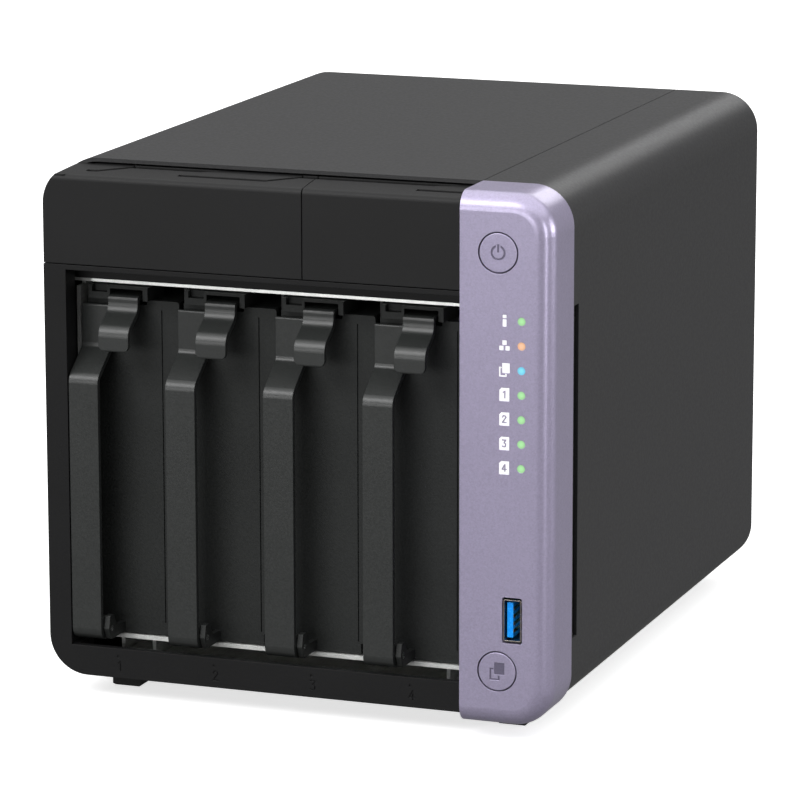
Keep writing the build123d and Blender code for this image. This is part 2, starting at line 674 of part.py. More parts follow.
def latch(bay):
    """Sprung wavy tab beside the lever's top, with rounded lower corners."""
    x0 = bay_x(bay, LATCH_U0)
    x1 = bay_x(bay, LATCH_U1)
    tab = prism_x(latch_profile(), x0, x1)
    frame = Pos((x0 + x1) / 2, BASE_Z + 105.3 + 15) * RectangleRounded(x1 - x0, 30, 2.4)
    tab &= prism_y(frame, BEZEL_Y - 5, LATCH_Y + 5)
    barrel = rod_x(x0, x1, LATCH_Y, LATCH_Z, LATCH_BARREL_R)
    return tab + barrel - rod_x(x0 - 1, x1 + 1, LATCH_Y, LATCH_Z, LATCH_PIN_R + PIN_CLEARANCE)


def tray_pins(bay):
    """Steel pins of the lever's hinge and the latch's pivot."""
    lever_x0 = bay_x(bay, LUG_LEFT_U[0])
    lever_x1 = bay_x(bay, LUG_RIGHT_U[1])
    lever_pin = rod_x(lever_x0, lever_x1, HINGE_Y, HINGE_Z, PIN_R)
    latch_x0 = bay_x(bay, LATCH_PIN_U[0])
    latch_x1 = bay_x(bay, LATCH_PIN_U[1])
    return [lever_pin, rod_x(latch_x0, latch_x1, LATCH_Y, LATCH_Z, LATCH_PIN_R)]


def hard_drive(bay):
    """3.5 inch drive on its edge: cast case, stepped lid and connector recess."""
    x0 = bay_x(bay, DRIVE_U0)
    z1 = DRIVE_Z0 + DRIVE_Z
    y1 = DRIVE_Y0 + DRIVE_Y
    case = block(x0, x0 + DRIVE_X, DRIVE_Y0, y1, DRIVE_Z0, z1)
    case = chamfer(case.edges().filter_by(Axis.X), 1.5)
    lid_x = x0 + DRIVE_X - 1.2
    step = block(lid_x, lid_x + 5, DRIVE_Y0 - 1, y1 + 1, DRIVE_Z0 - 1, z1 + 1)
    step -= block(lid_x - 1, lid_x + 6, DRIVE_Y0 + 6, y1 - 6, DRIVE_Z0 + 5, z1 - 5)
    case -= step
    case -= block(x0 + 1.5, x0 + 10, y1 - 4, y1 + 1, BASE_Z + 17, BASE_Z + 57)
    for z0, height in ((BASE_Z + 20.5, 11), (BASE_Z + 34.5, 19)):
        case += block(x0 + 5.0, x0 + 6.0, y1 - 4.2, y1 - 0.3, z0, z0 + height)
    return case


# ---- rear ----
def fan_guard():
    """Wire finger guard: rings, two crossing wires and four screw eyes."""
    y = REAR_FACE_Y + 0.8
    wire = GUARD_WIRE_R
    guard = None
    for radius in (12, 21, 30, 39, 48, FAN_BORE_R - 1):
        ring = Pos(FAN_X, y, FAN_Z) * Rot(90, 0, 0) * Torus(radius, wire)
        guard = ring if guard is None else guard + ring
    for angle in (45, 135):
        bar = Rot(0, angle, 0) * Rot(0, 90, 0) * Cylinder(wire, 2 * FAN_HOLE_REACH * math.sqrt(2) - 4)
        guard += Pos(FAN_X, y, FAN_Z) * bar
    for x, z in fan_corners():
        guard += rod_y(x, y - wire, y + wire, z, 3.6) - rod_y(x, y - 2, y + 2, z, 2.0)
    return guard


def rear_openings():
    """Cutters for the fan and the row of ports, as (x, z) sketches."""
    holes = [Pos(FAN_X, FAN_Z) * Circle(FAN_BORE_R)]
    for spec in PORTS.values():
        x0, x1, z0, z1 = spec
        holes.append(Pos((x0 + x1) / 2, (z0 + z1) / 2) * Rectangle(x1 - x0 + 0.4, z1 - z0 + 0.4))
    return holes


def screw_places():
    """Case screws round the rear plate."""
    left = -HALF_W + SCREW_INSET
    right = HALF_W - SCREW_INSET
    low = BASE_Z + SCREW_INSET
    high = TOP_Z - SCREW_INSET
    return [
        (left, BASE_Z + 30), (left, TOP_Z - 30), (right, BASE_Z + 30), (right, TOP_Z - 30),
        (-40, low), (40, low), (40, high), (-66, high),
    ]


def fan_corners():
    reach = FAN_HOLE_REACH
    return [(FAN_X + x, FAN_Z + z) for x in (-reach, reach) for z in (-reach, reach)]


def rear_vents():
    """Three rows of short air slots over the fan, as (x, z) sketches."""
    pitch_x = 14
    pitch_z = 4.2
    vents = []
    for row in range(3):
        for column in range(9):
            place = Pos(-72 + column * pitch_x, BASE_Z + 148 + row * pitch_z)
            vents.append(place * SlotOverall(10, 2.4))
    return vents


def rear_panel():
    """Steel plate inset in the covers, cut for the fan, ports, reset pin and lock slot."""
    plate = prism_y(case_section(SHEET_T + 0.2), REAR_PLATE_Y, REAR_FACE_Y)
    y0 = REAR_PLATE_Y - 1
    y1 = REAR_FACE_Y + 1
    lock = Pos(LOCK_X, LOCK_Z) * RectangleRounded(3.2, 7.2, 0.6)
    for sketch in rear_openings() + rear_vents() + [lock]:
        plate -= prism_y(sketch, y0, y1)
    for x, z in screw_places() + [(RESET_X, RESET_Z)]:
        plate -= rod_y(x, y0, y1, z, 1.5)
    for x, z in fan_corners():
        plate -= rod_y(x, y0, y1, z, 2.0)
    return plate


def cross_recess(x, y, z, reach, depth):
    """Cutter for a cross recess that starts at y and runs out past the screw's head."""
    half = 0.3
    cross = block(x - reach, x + reach, y, y + depth, z - half, z + half)
    return cross + block(x - half, x + half, y, y + depth, z - reach, z + reach)


def case_screws():
    """Pan-head screws with a cross recess."""
    screws = []
    for x, z in screw_places():
        head = rod_y(x, REAR_FACE_Y, REAR_FACE_Y + 1.6, z, 2.8)
        head = fillet(head.faces().sort_by(Axis.Y)[-1].edges(), 0.8)
        shank = rod_y(x, REAR_FACE_Y - 5, REAR_FACE_Y, z, 1.45)
        screws.append(head + shank - cross_recess(x, REAR_FACE_Y + 0.7, z, 1.5, 1.5))
    return screws


def fan_screws():
    """Coarse self-tapping screws that hold the guard and the fan."""
    screws = []
    y = REAR_FACE_Y + 1.5
    for x, z in fan_corners():
        head = rod_y(x, y, y + 0.7, z, 3.4)
        shank = rod_y(x, y - 9, y, z, 1.9)
        screws.append(head + shank - cross_recess(x, y + 0.3, z, 1.6, 1))
    return screws


def fan_frame():
    """Square fan housing with a round duct, motor seat and three struts."""
    y1 = REAR_PLATE_Y
    y0 = y1 - FAN_T
    square = Pos(FAN_X, FAN_Z) * RectangleRounded(FAN_SIZE, FAN_SIZE, 6)
    frame = prism_y(square - Pos(FAN_X, FAN_Z) * Circle(FAN_BORE_R), y0, y1)
    waist = prism_y(square - Pos(FAN_X, FAN_Z) * Circle(FAN_BORE_R + 2.5), y0 + 4, y1 - 4)
    frame -= waist
    seat = rod_y(FAN_X, y0, y0 + 3, FAN_Z, 20)
    for index in range(3):
        angle = 90 + index * 120
        strut = block(15, FAN_BORE_R + 1, y0, y0 + 3, -2.5, 2.5)
        seat += Pos(FAN_X, 0, FAN_Z) * (Rot(0, angle, 0) * strut)
    bearing = rod_y(FAN_X, y0 + 3, y0 + 16, FAN_Z, 4)
    frame = frame + seat + bearing
    frame -= rod_y(FAN_X, y0 + 4, y0 + 17, FAN_Z, 1.55)
    for x, z in fan_corners():
        frame -= rod_y(x, y0 - 1, y1 + 1, z, 1.9)
    return frame


def fan_rotor():
    """Hub cup with twisted blades and its shaft."""
    y1 = REAR_PLATE_Y - 2.0
    y0 = y1 - 19.5
    mid = (y0 + y1) / 2
    rotor = rod_y(0, y0 + 1, y1, 0, HUB_R)
    rotor -= rod_y(0, y0, y1 - 2, 0, HUB_R - 2)
    rotor += rod_y(0, y1 - 18.7, y1 - 1, 0, 1.5)
    section = Rectangle(17, 1.6)
    root = Plane(origin=(HUB_R - 1, mid, 0), x_dir=(0, 1, 0), z_dir=(1, 0, 0))
    tip = Plane(origin=(FAN_BORE_R - 1.2, mid, 0), x_dir=(0, 1, 0), z_dir=(1, 0, 0))
    blade = loft([root * Rot(0, 0, 48) * section, tip * Rot(0, 0, 30) * section])
    for index in range(FAN_BLADES):
        rotor += Rot(0, index * 360 / FAN_BLADES, 0) * blade
    return Pos(FAN_X, 0, FAN_Z) * rotor


def mainboard():
    """Board upright beside the cage."""
    board = block(MAIN_X, PORT_X, COVER_Y + 12, REAR_PLATE_Y - 1, BASE_Z + 12, BASE_Z + 148)
    for y, z in standoff_places():
        board -= rod_x(MAIN_X - 1, PORT_X + 1, y, z, 1.6)
    return board


def standoff_places():
    near = COVER_Y + 20
    far = BACKPLANE_Y - 10
    return [(near, BASE_Z + 20), (near, BASE_Z + 120), (far, BASE_Z + 20), (far, BASE_Z + 120)]


def board_standoffs():
    posts = []
    for y, z in standoff_places():
        post = rod_x(CAGE_X1, MAIN_X, y, z, 3.0)
        peg = rod_x(MAIN_X, PORT_X + 1.8, y, z, 1.5)
        head = rod_x(PORT_X, PORT_X + 1.8, y, z, 2.8)
        posts.append(post + peg + head)
    return posts


def heatsink():
    """Finned cooler over the processor."""
    y0 = COVER_Y + 60
    z0 = BASE_Z + 60
    sink = block(PORT_X + 1.5, PORT_X + 5, y0, y0 + 50, z0, z0 + 50)
    for index in range(11):
        z = z0 + index * 4.9
        sink += block(PORT_X + 5, PORT_X + 17, y0, y0 + 50, z, z + 1)
    return sink


def processor():
    y0 = COVER_Y + 75
    z0 = BASE_Z + 75
    return block(PORT_X, PORT_X + 1.5, y0, y0 + 20, z0, z0 + 20)


def memory_module():
    """Small memory board held upright in its socket."""
    y0 = COVER_Y + 60
    module = block(PORT_X + 4, PORT_X + 5.2, y0, y0 + 68, BASE_Z + 118, BASE_Z + 145)
    for index in range(4):
        y = y0 + 5 + index * 16
        module += block(PORT_X + 5.2, PORT_X + 6.2, y, y + 11, BASE_Z + 124, BASE_Z + 136)
    return module


def board_sockets():
    """Memory socket with its two arms, coin-cell holder and the reset switch."""
    y0 = COVER_Y + 58
    y1 = y0 + 72
    z1 = BASE_Z + 118
    socket = block(PORT_X, PORT_X + 7.5, y0, y1, BASE_Z + 112, z1)
    for y in (y0, y1 - 1.6):
        socket += block(PORT_X, PORT_X + 7.5, y, y + 1.6, z1, BASE_Z + 142)
    holder = rod_x(PORT_X, PORT_X + 4.0, CELL_Y, CELL_Z, CELL_R + 1.6)
    holder -= rod_x(PORT_X + 1.8, PORT_X + 5.0, CELL_Y, CELL_Z, CELL_R)
    switch_y = REAR_PLATE_Y - 4.4 - RESET_GAP
    switch = block(PORT_X, PORT_X + 7, switch_y - 4, switch_y, RESET_Z - 3, RESET_Z + 3)
    return [socket, holder, switch]


def clock_battery():
    return rod_x(PORT_X + 1.8, PORT_X + 5.0, CELL_Y, CELL_Z, CELL_R)


def network_port(name):
    """Shielded network socket with its stepped mouth facing the rear."""
    x0, x1, z0, z1 = PORTS[name]
    mid = (z0 + z1) / 2
    body = block(x0, x1, PORT_Y0 - 21, PORT_Y0, z0, z1)
    mouth = block(x0 + 2.2, x0 + 10.6, PORT_Y0 - 14, PORT_Y0 + 1, mid - 5.9, mid + 5.9)
    mouth += block(x0 + 10.6, x0 + 12.4, PORT_Y0 - 14, PORT_Y0 + 1, mid - 3, mid + 3)
    return body - mouth


def fibre_cage():
    """Open steel cage for a plug-in fibre module."""
    x0, x1, z0, z1 = PORTS["fibre"]
    cage = block(x0, x1, PORT_Y0 - 48, PORT_Y0, z0, z1)
    return cage - block(x0 + 0.5, x1 - 0.5, PORT_Y0 - 46, PORT_Y0 + 1, z0 + 0.5, z1 - 0.5)


def rear_usb_shells():
    """Shells of the two rear ports, closed at the back by the board connector."""
    shells = []
    for name in ("usb_lower", "usb_upper"):
        x0, x1, z0, z1 = PORTS[name]
        shells.append(usb_shell((x0 + x1) / 2, (z0 + z1) / 2, PORT_Y0 - 16, PORT_Y0))
    return shells


def rear_usb_tongues():
    """Contact tongues of the two rear ports on one moulded block."""
    x_first = PORTS["usb_lower"][0]
    x_last = PORTS["usb_upper"][1]
    z0, z1 = PORTS["usb_lower"][2:]
    mould = block(PORT_X, x_last, PORT_Y0 - 20, PORT_Y0 - 16, z0, z1)
    for x0 in (x_first, PORTS["usb_upper"][0]):
        mould += block(x0 + 0.9, x0 + 2.8, PORT_Y0 - 16, PORT_Y0 - 1.2, z0 + 1, z1 - 1)
    return mould


def power_inlet():
    """Round low-voltage inlet with its centre pin."""
    x0, x1, z0, z1 = PORTS["inlet"]
    x = (x0 + x1) / 2
    z = (z0 + z1) / 2
    body = block(x0, x1, PORT_Y0 - 14, PORT_Y0, z0, z1)
    body -= rod_y(x, PORT_Y0 - 10, PORT_Y0 + 1, z, 3.2)
    return body + rod_y(x, PORT_Y0 - 11, PORT_Y0 - 1, z, 1.0)


def reset_button():
    """Recessed pin button behind the rear plate."""
    pin = rod_y(RESET_X, REAR_PLATE_Y - 3.4, REAR_PLATE_Y - 0.3, RESET_Z, 1.0)
    return pin + rod_y(RESET_X, REAR_PLATE_Y - 4.4, REAR_PLATE_Y - 3.4, RESET_Z, 1.8)


# ---- underside ----
def rubber_feet():
    """Four pads under the case."""
    feet = []
    for x in (-65.3, 65.3):
        for y0 in (COVER_Y + 0.9, REAR_Y - 12.8 - 22):
            foot = block(x - 4.8, x + 4.8, y0, y0 + 22, 0, FOOT_H)
            foot = chamfer(foot.faces().sort_by(Axis.Z)[0].edges(), 0.6)
            feet.append(foot)
    return feet


# ---- write every node ----
save("top_cover", top_cover())
save("side_cover", side_cover())
save("front_bezel", front_bezel())
save("left_cap", left_cap())
save("right_cap", right_cap())
save("control_panel", control_panel())
save("panel_icons", icon_solids())
save("power_button", push_button(POWER_Z) - power_mark())
save("copy_button", push_button(COPY_Z) - copy_mark())
save("light_pipes_green", [light_pipe(index) for index in (0, 3, 4, 5, 6)])
save("light_pipe_orange", light_pipe(1))
save("light_pipe_blue", light_pipe(2))
save("front_board", front_board())
save("front_usb_shell", usb_shell(USB_X, USB_Z, FRONT_Y + 0.2, FRONT_BOARD_Y))
save("front_usb_tongue", front_usb_tongue())
save("drive_cage", drive_cage())
save("chassis_base", chassis_base())
save("tray_guides", tray_guides())
save("backplane", backplane())
save("drive_sockets", [drive_socket(bay) for bay in range(BAYS)])
for number in range(1, BAYS + 1):
    save(f"tray_{number}", tray(number - 1))
    save(f"lever_{number}", lever(number - 1))
    save(f"latch_{number}", latch(number - 1))
    save(f"tray_pins_{number}", tray_pins(number - 1))
    save(f"hard_drive_{number}", hard_drive(number - 1))
save("rear_panel", rear_panel())
save("fan_guard", fan_guard())
save("fan_frame", fan_frame())
save("fan_rotor", fan_rotor())
save("fan_screws", fan_screws())
save("case_screws", case_screws())
save("mainboard", mainboard())
save("board_standoffs", board_standoffs())
save("processor", processor())
save("heatsink", heatsink())
save("board_sockets", board_sockets())
save("memory_module", memory_module())
save("clock_battery", clock_battery())
save("network_ports", [network_port("network_1"), network_port("network_2")])
save("fibre_cage", fibre_cage())
save("rear_usb_shells", rear_usb_shells())
save("rear_usb_tongues", rear_usb_tongues())
save("power_inlet", power_inlet())
save("reset_button", reset_button())
save("rubber_feet", rubber_feet())

print(len(NODES), "nodes")
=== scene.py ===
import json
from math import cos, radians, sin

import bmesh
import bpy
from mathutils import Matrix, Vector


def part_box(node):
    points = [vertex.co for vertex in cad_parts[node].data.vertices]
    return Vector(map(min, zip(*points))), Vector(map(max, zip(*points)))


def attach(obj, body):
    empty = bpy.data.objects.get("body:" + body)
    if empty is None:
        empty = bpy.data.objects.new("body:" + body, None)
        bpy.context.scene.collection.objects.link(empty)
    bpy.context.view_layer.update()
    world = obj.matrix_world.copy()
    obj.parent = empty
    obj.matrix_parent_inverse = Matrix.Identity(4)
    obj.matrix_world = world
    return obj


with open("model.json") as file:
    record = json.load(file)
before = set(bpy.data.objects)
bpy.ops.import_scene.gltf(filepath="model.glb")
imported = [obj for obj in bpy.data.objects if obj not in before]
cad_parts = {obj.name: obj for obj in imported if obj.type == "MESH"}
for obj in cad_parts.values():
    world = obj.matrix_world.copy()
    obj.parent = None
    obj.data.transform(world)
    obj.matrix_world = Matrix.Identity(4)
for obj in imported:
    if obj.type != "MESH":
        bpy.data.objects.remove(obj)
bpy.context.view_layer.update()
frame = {"nodes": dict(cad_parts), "record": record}

# %% [markdown]
# # A four-bay desktop storage unit
# The shapes of this unit come from a CAD model that is already loaded, piece by piece, with every
# piece hung on the body it moves with. This lesson gives each piece the finish of the real one,
# adds the few pieces that are better made in Blender than in CAD, and sets up a small photo studio.
# All lengths are metres, so a millimetre has its own name.

MM = 0.001
NODES = frame["nodes"]

# %% [markdown]
# ## Camera
# Product pictures are taken from far away with a long lens, so that upright edges stay nearly
# parallel. The camera here stands 1.5 m away, a little to the right and a little above. A camera
# looks along its own -Z axis, so its three axes are worked out from the two viewing angles and a
# tiny roll, and put in a matrix. This is exact, where aiming at a target would leave the roll to
# chance.

# %% Camera
AZIMUTH, ELEVATION, ROLL = radians(20.26), radians(12.24), radians(-0.09)
CAMERA_PLACE = (0.50511, -1.38103, 0.39948)
SENSOR_WIDTH = 36      # of a full-frame camera, in millimetres
FOCAL_LENGTH = 204.87  # in millimetres too
back = Vector((sin(AZIMUTH) * cos(ELEVATION), -cos(AZIMUTH) * cos(ELEVATION), sin(ELEVATION)))
level_right = Vector((cos(AZIMUTH), sin(AZIMUTH), 0))
level_up = back.cross(level_right)
right = level_right * cos(ROLL) + level_up * sin(ROLL)
up = level_up * cos(ROLL) - level_right * sin(ROLL)

camera_data = bpy.data.cameras.new("camera")
camera_data.sensor_width = SENSOR_WIDTH
camera_data.lens = FOCAL_LENGTH
camera = bpy.data.objects.new("camera", camera_data)
bpy.context.scene.collection.objects.link(camera)
axes = Matrix((right, up, back)).transposed().to_4x4()
camera.matrix_world = Matrix.Translation(CAMERA_PLACE) @ axes
bpy.context.scene.camera = camera
print("camera distance, m:", round(camera.location.length, 3))

# %% [markdown]
# ## Colours and nodes
# A colour picked on a screen is an sRGB code, but a shader wants linear light, so one function
# turns one into the other. Every node of every finish is added by one helper, which sets the node's
# options and fills its inputs with values or with the output of an earlier node. That keeps each
# finish readable as a short recipe.

# %% Colours from sRGB codes
def linear(code):
    """Turn an sRGB hex code such as 9d95ad into a linear RGBA colour."""
    channels = [int(code[i:i + 2], 16) / 255 for i in (0, 2, 4)]
    return [c / 12.92 if c <= 0.04045 else ((c + 0.055) / 1.055) ** 2.4 for c in channels] + [1.0]


print("mid grey in linear light:", [round(v, 3) for v in linear("808080")])


# %% One helper for nodes
def add_node(tree, kind, settings, inputs):
    """Add a node, set its settings, and fill its inputs with values or with another node's output."""
    node = tree.nodes.new(kind)
    for name, value in settings.items():
        setattr(node, name, value)
    for name, value in inputs.items():
        if isinstance(value, bpy.types.NodeSocket):
            tree.links.new(value, node.inputs[name])
        else:
            node.inputs[name].default_value = value
    return node


# %% [markdown]
# ## Studio
# The studio is white to the eye but dim to the unit, as if black flags stood round it, so a black
# case stays black. A wide soft light from above, as from a lit ceiling, makes the floor bright and
# falls on the top of the case. A softbox up in front draws the bright line on the panel's top edge,
# and a low one in front fills the upright faces. A fill on the right lights the long side, and a
# softbox behind gives the covers their soft sheen. The floor is a lit table of milk glass, so
# shadows stay faint, and it doesn't shine back at the unit.

# %% World
ROOM_GLOW = 0.2      # what the unit sees of the white room
PAPER_GLOW = 1.0     # what the camera sees of it
world = bpy.data.worlds.new("studio")
bpy.context.scene.world = world
world.use_nodes = True
tree = world.node_tree
tree.nodes.clear()
seen = add_node(tree, "ShaderNodeLightPath", {}, {})
room = add_node(tree, "ShaderNodeBackground", {}, {"Color": linear("ffffff"), "Strength": ROOM_GLOW})
paper = add_node(tree, "ShaderNodeBackground", {}, {"Color": linear("ffffff"), "Strength": PAPER_GLOW})
both = add_node(tree, "ShaderNodeMixShader", {},
                {0: seen.outputs["Is Camera Ray"], 1: room.outputs[0], 2: paper.outputs[0]})
add_node(tree, "ShaderNodeOutputWorld", {}, {"Surface": both.outputs[0]})
bpy.context.scene.view_settings.view_transform = "Standard"
print("room glow:", ROOM_GLOW, "paper glow:", PAPER_GLOW)

# %% Lamps for the whole unit
UNIT_MIDDLE = (0, 0, 0.09)


def add_lamp(name, kind, place, power, aim=UNIT_MIDDLE, **settings):
    """Add a lamp at place that shines at aim."""
    lamp = bpy.data.lights.new(name, kind)
    lamp.energy = power
    for key, value in settings.items():
        setattr(lamp, key, value)
    holder = bpy.data.objects.new(name, lamp)
    bpy.context.scene.collection.objects.link(holder)
    holder.location = place
    holder.rotation_euler = (Vector(aim) - Vector(place)).to_track_quat("-Z", "Y").to_euler()
    print("lamp:", name, "power:", power)
    return holder


add_lamp("ceiling", "SUN", (0, 0, 3), 2.4, angle=radians(110))
add_lamp("front_softbox", "AREA", (-0.50, -1.35, 1.18), 10, shape="RECTANGLE", size=1.0, size_y=0.8)
add_lamp("low_front", "AREA", (-0.4, -2.2, 0.35), 8.5, shape="RECTANGLE", size=1.6, size_y=0.5)
add_lamp("right_fill", "AREA", (1.6, 0.45, 0.35), 9.5, shape="RECTANGLE", size=0.9, size_y=0.6)
add_lamp("rear_softbox", "AREA", (0.15, 2.3, 1.1), 4, shape="RECTANGLE", size=0.9, size_y=0.5)

# %% [markdown]
# ## Lamps for a few pieces
# Two lamps shine on a few pieces only, through light linking. A narrow strip draws the line down
# the control panel's right edge and reaches into the USB port. A spot brightens the front edge of
# the bare drive cage, which sits in a black frame that swallows light.

# %% Lamps for a few pieces
strip = add_lamp("right_strip", "AREA", (1.15, -0.80, 0.22), 3.4,
                 shape="RECTANGLE", size=0.12, size_y=0.6)
kicker = add_lamp("kicker", "SPOT", (-0.35, -1.6, 0.05), 25, aim=(-0.01, -0.09, 0.18),
                  spot_size=radians(9), spot_blend=0.5, shadow_soft_size=0.05)
LIT_ALONE = [
    (strip, ["control_panel", "power_button", "copy_button", "front_usb_shell", "front_usb_tongue"]),
    (kicker, ["drive_cage"]),
]
for lamp, lit_nodes in LIT_ALONE:
    lamp.light_linking.receiver_collection = bpy.data.collections.new("lit_by_" + lamp.name)
    for name in lit_nodes:
        lamp.light_linking.receiver_collection.objects.link(NODES[name])
    print(lamp.name, "lights only:", lit_nodes)

# %% Floor
FLOOR_REACH = 8      # from its middle to an edge, in metres
bm = bmesh.new()
bmesh.ops.create_grid(bm, x_segments=1, y_segments=1, size=FLOOR_REACH)
floor_mesh = bpy.data.meshes.new("floor")
bm.to_mesh(floor_mesh)
bm.free()
floor = bpy.data.objects.new("floor", floor_mesh)
bpy.context.scene.collection.objects.link(floor)
floor.visible_glossy = False
floor.visible_diffuse = False
print("floor side, m:", 2 * FLOOR_REACH)

# %% [markdown]
# ## How the finishes are made
# Every finish is a Principled shader with patterns behind it. Object coordinates are metres in
# space, so a pattern's scale follows from a real size: a noise with a scale of 1 / 0.0004 has
# grains about 0.4 mm wide. No moulded or painted edge is perfectly sharp, so a Bevel node turns the
# normals over the last fraction of a millimetre, and catches a thin line of light as a real edge
# does. Grain finer than about 0.3 mm can't show at this distance, so the finest real grains are
# drawn that coarse.

# %% Parts that every finish shares
def start(name):
    """New empty material, with its tree and its place coordinates."""
    material = bpy.data.materials.new(name)
    material.use_nodes = True
    tree = material.node_tree
    tree.nodes.clear()
    return material, tree, add_node(tree, "ShaderNodeTexCoord", {}, {}).outputs["Object"]


def per(size_mm):
    """Scale of a pattern whose features are about size_mm wide."""
    return 1 / (size_mm * MM)


def surface(tree, height, depth_mm, edge_mm, inputs):
    """Close a finish: soften its edges, raise its grain by depth_mm, and fill the shader."""
    edge = add_node(tree, "ShaderNodeBevel", {"samples": 4}, {"Radius": edge_mm * MM})
    bump = add_node(tree, "ShaderNodeBump", {},
                    {"Height": height, "Distance": depth_mm * MM, "Normal": edge.outputs[0]})
    shader = add_node(tree, "ShaderNodeBsdfPrincipled", {}, {"Normal": bump.outputs[0], **inputs})
    add_node(tree, "ShaderNodeOutputMaterial", {}, {"Surface": shader.outputs[0]})


NOISE_LOW, NOISE_HIGH = 0.3, 0.7      # a noise seldom leaves this range
FINISHES = {}
print("scale of a 0.4 mm grain:", round(per(0.4)))

# %% [markdown]
# ## Moulded plastic
# The bezel, the caps, the trays and the levers are injection moulded. The steel mould is spark
# eroded, which leaves a fine matt grain, and the plastic flows from a gate, which leaves very faint
# broad changes of tone. A noise of the grain's size drives colour, roughness and bump together, so
# that a high spot is also a lighter and duller one. A second, broad noise is the flow.

# %% Moulded plastic
def moulded_plastic(name, dark, light, grain_mm, depth_mm, rough, specular, edge_mm):
    """Grained plastic between two tones, with edges rounded by edge_mm."""
    material, tree, place = start(name)
    grain = add_node(tree, "ShaderNodeTexNoise", {},
                     {"Vector": place, "Scale": per(grain_mm), "Detail": 2.0, "Roughness": 0.6})
    flow = add_node(tree, "ShaderNodeTexNoise", {}, {"Vector": place, "Scale": per(35), "Detail": 1.0})
    tone = add_node(tree, "ShaderNodeMix", {},
                    {0: 0.35, 2: grain.outputs[0], 3: flow.outputs[0]})
    spread = add_node(tree, "ShaderNodeMapRange", {}, {0: tone.outputs[0], 1: NOISE_LOW, 2: NOISE_HIGH})
    colour = add_node(tree, "ShaderNodeMix", {"data_type": "RGBA"},
                      {0: spread.outputs[0], 6: linear(dark), 7: linear(light)})
    dull = add_node(tree, "ShaderNodeMapRange", {},
                    {0: grain.outputs[0], 1: NOISE_LOW, 2: NOISE_HIGH, 3: rough - 0.05, 4: rough + 0.05})
    surface(tree, grain.outputs[0], depth_mm, edge_mm, {
        "Base Color": colour.outputs[2], "Roughness": dull.outputs[0],
        "IOR": 1.53, "Specular IOR Level": specular})
    return material


# ABS from a spark-eroded mould: matt, black, with a grain that the fingertip just feels.
FINISHES["bezel"] = moulded_plastic(
    "black_textured_abs", "0f0f10", "1a1a1b",
    grain_mm=0.45, depth_mm=0.03, rough=0.5, specular=0.3, edge_mm=0.25)
# The caps come from a finer mould and look a shade lighter and more even.
FINISHES["cap"] = moulded_plastic(
    "black_fine_textured_abs", "191919", "202021",
    grain_mm=0.4, depth_mm=0.02, rough=0.5, specular=0.3, edge_mm=0.3)
# Polycarbonate blend with a coarser grain, so that the tray's plates look sandy.
FINISHES["tray"] = moulded_plastic(
    "black_grained_polycarbonate", "202221", "323433",
    grain_mm=0.55, depth_mm=0.05, rough=0.55, specular=0.35, edge_mm=0.2)
# The levers are the same plastic with a smoother face, polished a little by fingers, which shows
# lines at the bends.
FINISHES["lever"] = moulded_plastic(
    "dark_grey_polycarbonate", "2c2e2d", "373938",
    grain_mm=0.5, depth_mm=0.02, rough=0.33, specular=0.6, edge_mm=0.35)
# Glass-filled nylon of sockets and guides: near black, a little dry.
FINISHES["connector"] = moulded_plastic(
    "black_glass_filled_nylon", "0d0d0e", "161617",
    grain_mm=0.6, depth_mm=0.01, rough=0.45, specular=0.5, edge_mm=0.15)
# Fan plastic has a smoother mould and a slight shine.
FINISHES["fan"] = moulded_plastic(
    "black_pbt_polyester", "101011", "17171a",
    grain_mm=0.8, depth_mm=0.01, rough=0.32, specular=0.5, edge_mm=0.3)
# Moulded epoxy of a chip: grey black and dull.
FINISHES["chip"] = moulded_plastic(
    "moulded_epoxy_package", "121214", "1b1b1d",
    grain_mm=0.4, depth_mm=0.02, rough=0.6, specular=0.4, edge_mm=0.1)
# Blue polyester of a fast USB port, smooth from a polished mould.
FINISHES["port_blue"] = moulded_plastic(
    "blue_pbt_polyester", "0090ff", "20a8ff",
    grain_mm=0.7, depth_mm=0.005, rough=0.25, specular=0.5, edge_mm=0.1)
print("plastics:", len(FINISHES))

# %% [markdown]
# ## Powder coat
# The covers are folded steel, dusted with dry paint powder and baked. The powder melts into a skin
# with low round waves, known as orange peel, about a millimetre across, under a finer grain. Two
# noises make that relief, one for the waves and one for the grain.

# %% Powder coat
def powder_coat(name, dark, light, rough, specular, edge_mm):
    """Baked paint with orange peel."""
    material, tree, place = start(name)
    peel = add_node(tree, "ShaderNodeTexNoise", {}, {"Vector": place, "Scale": per(1.1), "Detail": 1.0})
    grain = add_node(tree, "ShaderNodeTexNoise", {},
                     {"Vector": place, "Scale": per(0.5), "Detail": 1.0})
    relief = add_node(tree, "ShaderNodeMix", {}, {0: 0.5, 2: peel.outputs[0], 3: grain.outputs[0]})
    spread = add_node(tree, "ShaderNodeMapRange", {}, {0: grain.outputs[0], 1: NOISE_LOW, 2: NOISE_HIGH})
    colour = add_node(tree, "ShaderNodeMix", {"data_type": "RGBA"},
                      {0: spread.outputs[0], 6: linear(dark), 7: linear(light)})
    dull = add_node(tree, "ShaderNodeMapRange", {},
                    {0: peel.outputs[0], 1: NOISE_LOW, 2: NOISE_HIGH, 3: rough - 0.04, 4: rough + 0.04})
    surface(tree, relief.outputs[0], 0.02, edge_mm, {
        "Base Color": colour.outputs[2], "Roughness": dull.outputs[0],
        "IOR": 1.5, "Specular IOR Level": specular})
    return material


# Charcoal powder coat: matt from above, with a soft sheen along the rounded edges. The sheet is cut
# before it is folded, so its rims stay sharp and dark.
FINISHES["cover"] = powder_coat(
    "charcoal_powder_coat", "2d2d2e", "3a3a3b", rough=0.44, specular=0.42, edge_mm=0.02)
